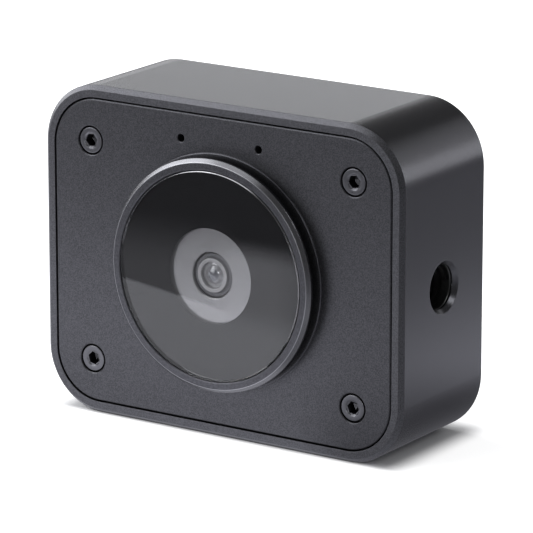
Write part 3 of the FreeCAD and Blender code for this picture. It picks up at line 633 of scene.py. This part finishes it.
def makeSocketScrew(sizes, length):
    # head face at height 0, shank down to -length
    head, core, steps = sizes["headRadius"], sizes["coreRadius"], sizes["steps"]
    lead, leadDepth, lip = sizes["leadRadius"], sizes["leadDepth"], sizes["leadLip"]
    under, cut, socket = -sizes["headHeight"], head * sizes["underRound"], -sizes["socketDepth"]
    profile = softened([(0, -length), (core * sizes["tipShare"], -length),
                        (core, -length + core * sizes["tipLength"]), (core, under), (head - cut, under),
                        (head, under + cut), (head, 0)], sizes["round"], closed=False)[:-1]
    rim, rimSteps = sizes["headRound"], sizes["rimSteps"]
    angles = [math.pi / 2 * i / rimSteps for i in range(rimSteps + 1)]
    profile += [(head - rim * (1 - math.cos(angle)), -rim * (1 - math.sin(angle))) for angle in angles]
    profile += [(lead + lip[0], 0), (lead, -lip[1]), (lead - leadDepth, -leadDepth)]
    mesh = turnedMesh("screwOutside", profile, steps, closed=False)
    shape = bmesh.new()
    shape.from_mesh(mesh)
    shape.verts.ensure_lookup_table()
    ring = list(shape.verts)[-steps:]
    levels = [(1.0, -leadDepth - sizes["socketTop"]), (1.0, -leadDepth - sizes["guard"]), (1.0, socket),
              (sizes["drillShare"], socket - sizes["drillDepth"])]
    for share, height in levels:
        fresh = []
        for i in range(steps):
            angle = math.tau * i / steps
            radius = hexRadius(angle, sizes["socketFlats"]) * share
            fresh.append(shape.verts.new((radius * math.cos(angle), radius * math.sin(angle), height)))
        for i in range(steps):
            j = (i + 1) % steps
            shape.faces.new((ring[i], ring[j], fresh[j], fresh[i]))
        ring = fresh
    bottom = shape.verts.new((0, 0, socket - sizes["drillTip"]))
    for i in range(steps):
        shape.faces.new((ring[i], ring[(i + 1) % steps], bottom))
    shape.to_mesh(mesh)
    shape.free()
    return outward(mesh)


def makePanelScrews(sizes):
    low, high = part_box("panel_screws")
    length, pitch, deep, sunk = high.y - low.y, sizes["pitch"], sizes["threadDepth"], sizes["sunk"]
    threadLength = length - sizes["headHeight"] - sizes["runOut"]
    ridge = threadMesh("screwThread", {
        "Facets": sizes["threadFacets"], "Turns": threadLength / pitch, "Pitch": pitch,
        "Radius": sizes["coreRadius"] + (deep - sunk) / 2, "Depth": deep + sunk,
        "Root": pitch * sizes["rootShare"], "Crest": pitch * sizes["crestShare"]}, "screw_steel")
    ridge.transform(Matrix.Translation((0, 0, sizes["threadStart"] - length)))
    single = joined("screw", [makeSocketScrew(sizes, length), outward(ridge)])
    recipe = Recipe("screwRecipe", {
        "Across": caseHigh.x - caseLow.x - 2 * sizes["inset"],
        "Upright": caseHigh.z - caseLow.z - 2 * sizes["inset"],
        "Turned by": sizes["turnedBy"], "Seed": sizes["seed"]})
    points = recipe.add("GeometryNodeMeshGrid", None, {
        "Size X": recipe.size("Across"), "Size Y": recipe.size("Upright"),
        "Vertices X": 2, "Vertices Y": 2})[0]
    twist = recipe.add("FunctionNodeRandomValue", {"data_type": "FLOAT"}, {
        "Min": 0.0, "Max": recipe.size("Turned by"), "Seed": recipe.size("Seed")})[1]
    turn = recipe.add("ShaderNodeCombineXYZ", None, {"Z": twist})[0]
    spin = recipe.add("FunctionNodeEulerToRotation", None, {"Euler": turn})[0]
    placed = recipe.add("GeometryNodeInstanceOnPoints", None, {
        "Points": points, "Instance": recipe.entry.outputs["Geometry"], "Rotation": spin})[0]
    mesh = recipe.make("panelScrews", placed, "screw_steel", single)
    place = facing(((caseLow.x + caseHigh.x) / 2, low.y, (caseLow.z + caseHigh.z) / 2), (0, -1, 0))
    addPiece("panelScrews", mesh, "screw_steel", "panel_screws", place)


makePanelScrews(screwSizes)
print("panel screws")

# threaded inserts for the side and the base
insertSizes = {
    "majorRadius": 3.17 * mm, "minorRadius": 2.56 * mm, "pitch": 1.27 * mm, "rootShare": 0.86,
    "crestShare": 0.16, "sunk": 0.04 * mm, "runOut": 0.45 * mm, "lessTurns": 0.75,
    "threadStart": 0.75 * mm, "closedEnd": 0.8 * mm, "drillShare": 0.3, "drillDepth": 0.25 * mm,
    "drillTip": 0.35 * mm, "lead": 0.12 * mm, "edge": 0.3 * mm, "round": 0.05 * mm, "facets": 96}


def makeInsert(name, node, mouth, sizes):
    # mouth is the unit direction in which the bore opens
    low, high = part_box(node)
    mouth = Vector(mouth)
    length = abs((high - low).dot(mouth))
    radius = max(high - low) / 2
    major, edge, lead = sizes["majorRadius"], sizes["edge"], sizes["lead"]
    floor = sizes["closedEnd"] - length
    wall = softened([(0, -length), (radius - edge, -length), (radius, edge - length), (radius, -edge),
                     (radius - edge, 0), (major + lead, 0), (major, -lead), (major, floor),
                     (major * sizes["drillShare"], floor - sizes["drillDepth"]),
                     (0, floor - sizes["drillTip"])], sizes["round"], closed=False)
    sleeve = outward(turnedMesh(name + "Sleeve", wall, sizes["facets"], closed=False))
    deep, pitch, sunk = major - sizes["minorRadius"], sizes["pitch"], sizes["sunk"]
    threadLength = -floor - sizes["runOut"]
    ridge = threadMesh(name + "Thread", {
        "Facets": sizes["facets"], "Turns": threadLength / pitch - sizes["lessTurns"], "Pitch": pitch,
        "Radius": major - (deep - sunk) / 2, "Depth": -deep - sunk,
        "Root": pitch * sizes["rootShare"], "Crest": pitch * sizes["crestShare"]}, "insert_steel")
    ridge.transform(Matrix.Translation((0, 0, floor + sizes["threadStart"])))
    place = facing((low + high) / 2 + mouth * length / 2, mouth)
    addPiece(name, joined(name, [sleeve, outward(ridge)]), "insert_steel", node, place)


makeInsert("sideThread", "side_thread_insert", (1, 0, 0), insertSizes)
makeInsert("baseThread", "base_thread_insert", (0, 0, -1), insertSizes)
print("threaded inserts")

# the camera
cameraSizes = {
    "azimuth": 33.75, "elevation": 15.11, "distance": 603.2 * mm, "lens": 288.5, "sensor": 36,
    "clip": (0.01, 50), "sideways": -0.551 * mm, "upwards": 0.993 * mm, "targetHeight": 23.5 * mm}


def makeCamera(sizes):
    around, up = math.radians(sizes["azimuth"]), math.radians(sizes["elevation"])
    back = Vector((math.sin(around) * math.cos(up), -math.cos(around) * math.cos(up), math.sin(up)))
    right = Vector((math.cos(around), math.sin(around), 0))
    over = back.cross(right)
    target = Vector(((caseLow.x + caseHigh.x) / 2, (caseLow.y + caseHigh.y) / 2,
                     caseLow.z + sizes["targetHeight"]))
    place = target + back * sizes["distance"] - right * sizes["sideways"] - over * sizes["upwards"]
    data = bpy.data.cameras.new("camera")
    data.lens, data.sensor_width = sizes["lens"], sizes["sensor"]
    data.clip_start, data.clip_end = sizes["clip"]
    camera = bpy.data.objects.new("camera", data)
    bpy.context.scene.collection.objects.link(camera)
    camera.matrix_world = Matrix((
        (right.x, over.x, back.x, place.x), (right.y, over.y, back.y, place.y),
        (right.z, over.z, back.z, place.z), (0, 0, 0, 1)))
    bpy.context.scene.camera = camera


makeCamera(cameraSizes)
print("camera")

# floor, card and lamps
stageSizes = {
    "floorHalf": 4.0, "floorGap": 0.02 * mm, "floorTone": 0.86, "floorGlow": 0.92, "cloudSize": 40 * mm,
    "cloudShare": 0.99, "roughness": 0.7, "specular": 0.2, "restsWithin": 4.2 * mm,
    "frontInset": 1.3 * mm, "shadeWidth": 5.1 * mm, "frontTighter": 2.2, "worldLight": 0.1,
    "lampColor": (0.965, 0.975, 1.0)}
lamps = {
    # place, width and height, power, what it points at
    "topLamp": ((-0.45, -0.22, 0.86), (1.1, 0.9), 4.6, (0, 0, 0.02)),
    "frontLamp": ((-0.75, -0.9, 0.36), (0.7, 0.7), 5.4, (0, 0, 0.02)),
    "lowFrontLamp": ((0.14, -1.0, 0.12), (0.16, 0.2), 1.0, (0, 0, 0.02)),
    "leftLamp": ((-0.85, 0.12, 0.3), (0.3, 0.5), 2.6, (0, 0, 0.02)),
    "upperLeftLamp": ((-0.66, -0.15, 0.66), (0.35, 0.45), 1.5, (0, 0, 0.02)),
    "backLamp": ((-0.67, 1.0, 0.24), (1.46, 0.32), 1.66, (-0.67, 0, 0.24)),
    "backRightLamp": ((0.625, 1.0, 0.33), (0.95, 0.64), 1.11, (0.625, 0, 0.33)),
    "backRightLowLamp": ((0.65, 0.98, 0.17), (0.9, 0.3), 0.8, (0.65, 0, 0.17)),
    "rightLamp": ((0.75, -0.1, 0.67), (0.3, 0.3), 0.9, (0, 0, 0.02))}


def makeFlat(name, half, z, material):
    corners = [(-half, -half, z), (half, -half, z), (half, half, z), (-half, half, z)]
    mesh = bpy.data.meshes.new(name)
    mesh.from_pydata(corners, [], [(0, 1, 2, 3)])
    mesh.materials.append(material)
    piece = bpy.data.objects.new(name, mesh)
    bpy.context.scene.collection.objects.link(piece)
    return piece


def lengthOf(*steps):
    # how far away a point is, from its distances along several directions
    return sum(step * step for step in steps) ** 0.5


def floorPaper(sizes):
    # glows evenly, with a painted shadow in its glow where the case stands on it
    look = Look("floorPaper")
    tone, inset = sizes["floorTone"], sizes["restsWithin"]
    clouds = look.noise(sizes["cloudSize"])
    shade = look.blendColor(clouds, grey(tone * sizes["cloudShare"]), grey(tone))
    x, y, _ = look.parts(look.objectPlace())
    rightOf, leftOf = (x - (caseHigh.x - inset)).largest(0.0), (caseLow.x + inset - x).largest(0.0)
    behind = (y - caseHigh.y).largest(0.0)
    before = (caseLow.y + sizes["frontInset"] - y).largest(0.0) * sizes["frontTighter"]
    # painted shadow: the glow fades out towards the case's footprint
    outsidePaintedShadow = look.soften(lengthOf(rightOf, leftOf, behind, before), 0.0, sizes["shadeWidth"])
    return look.finish({"Base Color": shade, "Roughness": sizes["roughness"],
                        "Specular IOR Level": sizes["specular"],
                        "Emission Color": look.blendColor(outsidePaintedShadow, grey(0.0), shade),
                        "Emission Strength": sizes["floorGlow"]})


# the paper that the object stands on and the dark room past its edges, as reflections see
# them: where the paper ends is given as the height on the glass at which its edge is mirrored
paperSizes = {
    "half": 4.0, "lift": 0.3 * mm, "paper": (1.36, 1.37, 1.48, 1), "room": (0.13, 0.13, 0.145, 1),
    "roughness": 0.9, "mirroredSideways": 2.0575, "mirroredForward": 3.079,
    "edgeHeight": 18.4 * mm, "edgeSlope": -0.123, "edgeBlur": 0.12 * mm, "edgeShare": 0.72,
    "leftFade": (22 * mm, 34 * mm), "rightStep": (15 * mm, 20 * mm), "rightShare": 0.3,
    "rightFade": (26 * mm, 31 * mm), "toRight": (-2 * mm, 4 * mm),
    "dimAcross": (10 * mm, 21 * mm), "acrossShare": 0.48, "dimLow": (2 * mm, 11 * mm), "lowShare": 0.33,
    "ahead": (-2 * mm, 0.0), "behindShare": 0.36,
    "besideLean": 0.55, "beside": (36 * mm, 75 * mm), "besideShare": 0.75,
    "far": (25 * mm, 90 * mm), "farShare": 0.9, "farBehind": (160 * mm, 420 * mm),
    "farRight": (0.0, 200 * mm), "farRightShare": 0.3,
    "frontInset": 3 * mm, "frontTighter": 18, "leftTighter": 4, "contactWidth": 60 * mm,
    "contactShare": 0.97}


def makeMirroredPaper(sizes):
    look = Look("mirroredPaper")
    x, y, _ = look.parts(look.objectPlace())

    # what the front mirrors, by place on the glass: room over paper, its edge lower on the left
    height = (glassFace - y) * (1 / sizes["mirroredForward"])
    across = x + height * sizes["mirroredSideways"]
    edge = height - (across * sizes["edgeSlope"] + sizes["edgeHeight"])
    left = (look.soften(edge, 0.0, sizes["edgeBlur"]) * sizes["edgeShare"]
            + look.soften(height, *sizes["leftFade"]) * (1 - sizes["edgeShare"]))
    right = (look.soften(height, *sizes["rightStep"]) * sizes["rightShare"]
             + look.soften(height, *sizes["rightFade"]) * (1 - sizes["rightShare"]))
    toRight = look.soften(across, *sizes["toRight"])
    front = left * (1 - toRight) + right * toRight
    # painted shade in these reflections: darker to the right and low down, and by a set share behind the
    # front's plane
    dim = (look.soften(across, *sizes["dimAcross"]) * sizes["acrossShare"]
           + (1 - look.soften(height, *sizes["dimLow"])) * sizes["lowShare"])
    ahead = look.soften(height, *sizes["ahead"])
    dim = dim * ahead + (1 - ahead) * sizes["behindShare"]
    front = front + (1 - front) * dim

    # what the side and the top mirror, and the shade close to the case
    beside = look.soften(x - y * sizes["besideLean"], *sizes["beside"]) * sizes["besideShare"]
    far = look.soften(x, *sizes["far"]) * sizes["farShare"]
    lessRight = 1 - look.soften(x, *sizes["farRight"]) * sizes["farRightShare"]
    farBehind = look.soften(y, *sizes["farBehind"]) * lessRight
    rightOf, behind = (x - caseHigh.x).largest(0.0), (y - caseHigh.y).largest(0.0)
    before = (caseLow.y + sizes["frontInset"] - y).largest(0.0) * sizes["frontTighter"]
    leftOf = (caseLow.x - x).largest(0.0) * sizes["leftTighter"]
    away = lengthOf(rightOf, behind, before, leftOf)
    contact = (1 - look.soften(away, 0.0, sizes["contactWidth"])) * sizes["contactShare"]
    cover = front.largest(beside).largest(far).largest(farBehind).largest(contact)
    look.finish({"Base Color": grey(0.0), "Roughness": sizes["roughness"], "Specular IOR Level": 0.0,
                 "Emission Color": look.blendColor(cover, sizes["paper"], sizes["room"]),
                 "Emission Strength": 1.0})
    card = makeFlat("mirroredPaper", sizes["half"], caseLow.z + sizes["lift"], look.material)
    card.visible_camera = card.visible_diffuse = card.visible_shadow = False


def makeStage(sizes):
    makeFlat("floor", sizes["floorHalf"], cadBounds[0][2] - sizes["floorGap"], floorPaper(sizes))
    world = bpy.data.worlds.new("studio")
    world.use_nodes = True
    sky = world.node_tree.nodes["Background"]
    sky.inputs["Strength"].default_value = sizes["worldLight"]
    sky.inputs["Color"].default_value = (1, 1, 1, 1)
    bpy.context.scene.world = world
    for name, (place, size, power, target) in lamps.items():
        data = bpy.data.lights.new(name, "AREA")
        data.shape, data.energy, data.color = "RECTANGLE", power, sizes["lampColor"]
        data.size, data.size_y = size
        lamp = bpy.data.objects.new(name, data)
        lamp.location = place
        lamp.rotation_euler = (Vector(target) - Vector(place)).to_track_quat("-Z", "Y").to_euler()
        lamp.visible_camera = False
        bpy.context.scene.collection.objects.link(lamp)


makeStage(stageSizes)
makeMirroredPaper(paperSizes)
bpy.context.scene.view_settings.view_transform = "Standard"
print("stage")
